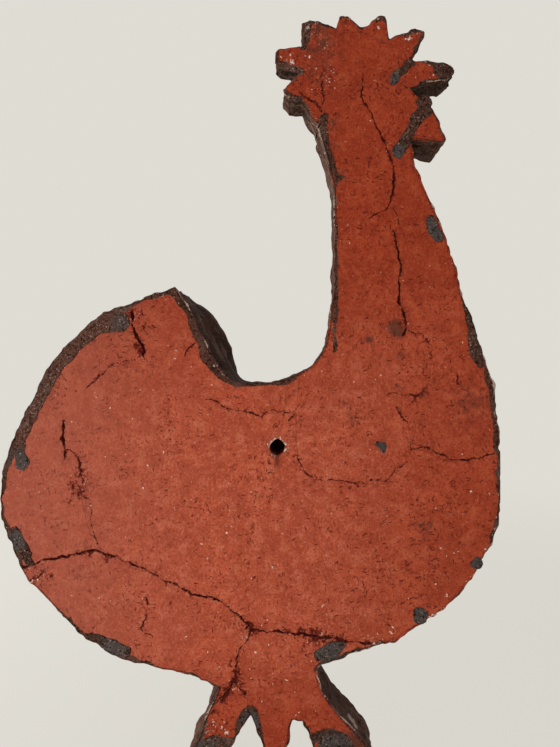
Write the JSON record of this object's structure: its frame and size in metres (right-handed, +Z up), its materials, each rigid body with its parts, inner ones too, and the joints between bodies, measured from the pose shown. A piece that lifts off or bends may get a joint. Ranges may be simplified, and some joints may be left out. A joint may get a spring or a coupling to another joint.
{
  "type": "rooster wall sculpture",
  "caption": "Flat-backed hand-built ceramic rooster for a wall: red clay slabs and lumps under a dark glaze, with comb, beak, wattle, tail hump, splayed feet and a blind hanging hole.",
  "frame": {"origin": "centre of the hanging hole's mouth, in the plane of the flat unglazed back", "axes": "+Z up as it hangs, +Y out of the wall towards the glazed front, +X towards the beak (to the right seen from behind)"},
  "size_m": [0.3139, 0.0424, 0.4833],
  "materials": {
    "red_clay": "matte",
    "dark_glaze": "satin"
  },
  "bodies": {
    "root": {"body_slab": "red_clay", "tail_slab": "red_clay", "belly_slab": "red_clay", "leg_slab": "red_clay", "neck_slab": "red_clay", "throat_slab": "red_clay", "wattle_lump": "red_clay", "beak_lump": "dark_glaze", "comb_point_4": "dark_glaze", "comb_point_3": "dark_glaze", "comb_point_2": "dark_glaze", "comb_point_1": "dark_glaze", "rear_lobe_upper": "dark_glaze", "rear_lobe_lower": "dark_glaze", "glaze_coat": "dark_glaze", "glaze_run_tail": "dark_glaze", "glaze_run_beak": "dark_glaze", "glaze_beak_tip": "dark_glaze", "glaze_run_wattle": "dark_glaze", "glaze_run_throat": "dark_glaze", "glaze_run_breast": "dark_glaze", "glaze_run_leg": "dark_glaze", "glaze_run_belly": "dark_glaze", "glaze_run_rump": "dark_glaze", "glaze_left_toe": "dark_glaze", "glaze_right_toe": "dark_glaze", "wing_relief": "dark_glaze", "tail_plume_1": "dark_glaze", "tail_plume_2": "dark_glaze", "tail_plume_3": "dark_glaze", "eye_relief": "dark_glaze"}
  },
  "joints": []
}
